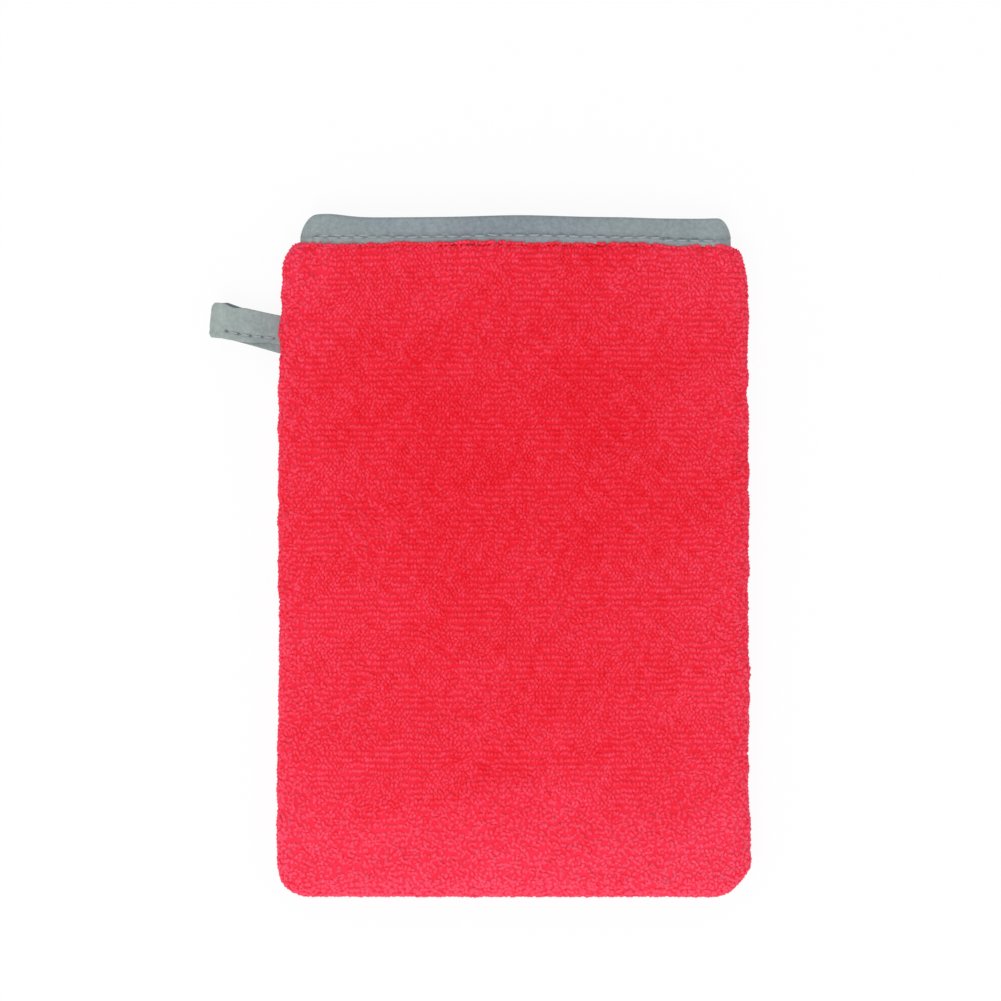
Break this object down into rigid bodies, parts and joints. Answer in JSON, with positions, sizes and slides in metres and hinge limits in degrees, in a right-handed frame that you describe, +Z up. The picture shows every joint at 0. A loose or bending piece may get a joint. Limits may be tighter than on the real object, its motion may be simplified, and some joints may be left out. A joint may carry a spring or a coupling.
{
  "type": "wash mitt",
  "caption": "Flat terry wash mitt with rounded corners at the finger end, a tape binding round its mouth and a short tape hanging loop out of one side seam.",
  "frame": {"origin": "middle of the flat underside of the terry, on the surface the mitt lies on, midway between the mouth's edge and the finger end", "axes": "+Y towards the mouth, +Z up out of the palm face, +X to the right seen from above, so the hanging loop is at -X"},
  "size_m": [0.1694, 0.214, 0.018],
  "materials": {
    "terry": "matte",
    "tape": "matte",
    "binding_thread": "matte",
    "seam_thread": "matte"
  },
  "bodies": {
    "mitt": {"palm_panel": "terry", "back_panel": "terry", "palm_cuff_binding": "tape", "back_cuff_binding": "tape", "palm_cuff_stitches": "binding_thread", "back_cuff_stitches": "binding_thread", "seam_needle_thread": "seam_thread", "seam_bobbin_thread": "seam_thread", "overlock_edging": "seam_thread", "loop_tails": "tape"},
    "hanging_loop": {"hanging_loop": "tape", "loop_edge_stitches": "binding_thread"}
  },
  "joints": [
    {"name": "loop_fold", "type": "hinge", "parent": "mitt", "child": "hanging_loop", "pos_m": [-0.076, 0.0696, 0.00675], "axis": [0, 1, 0], "range_deg": [-80, 80]}
  ]
}
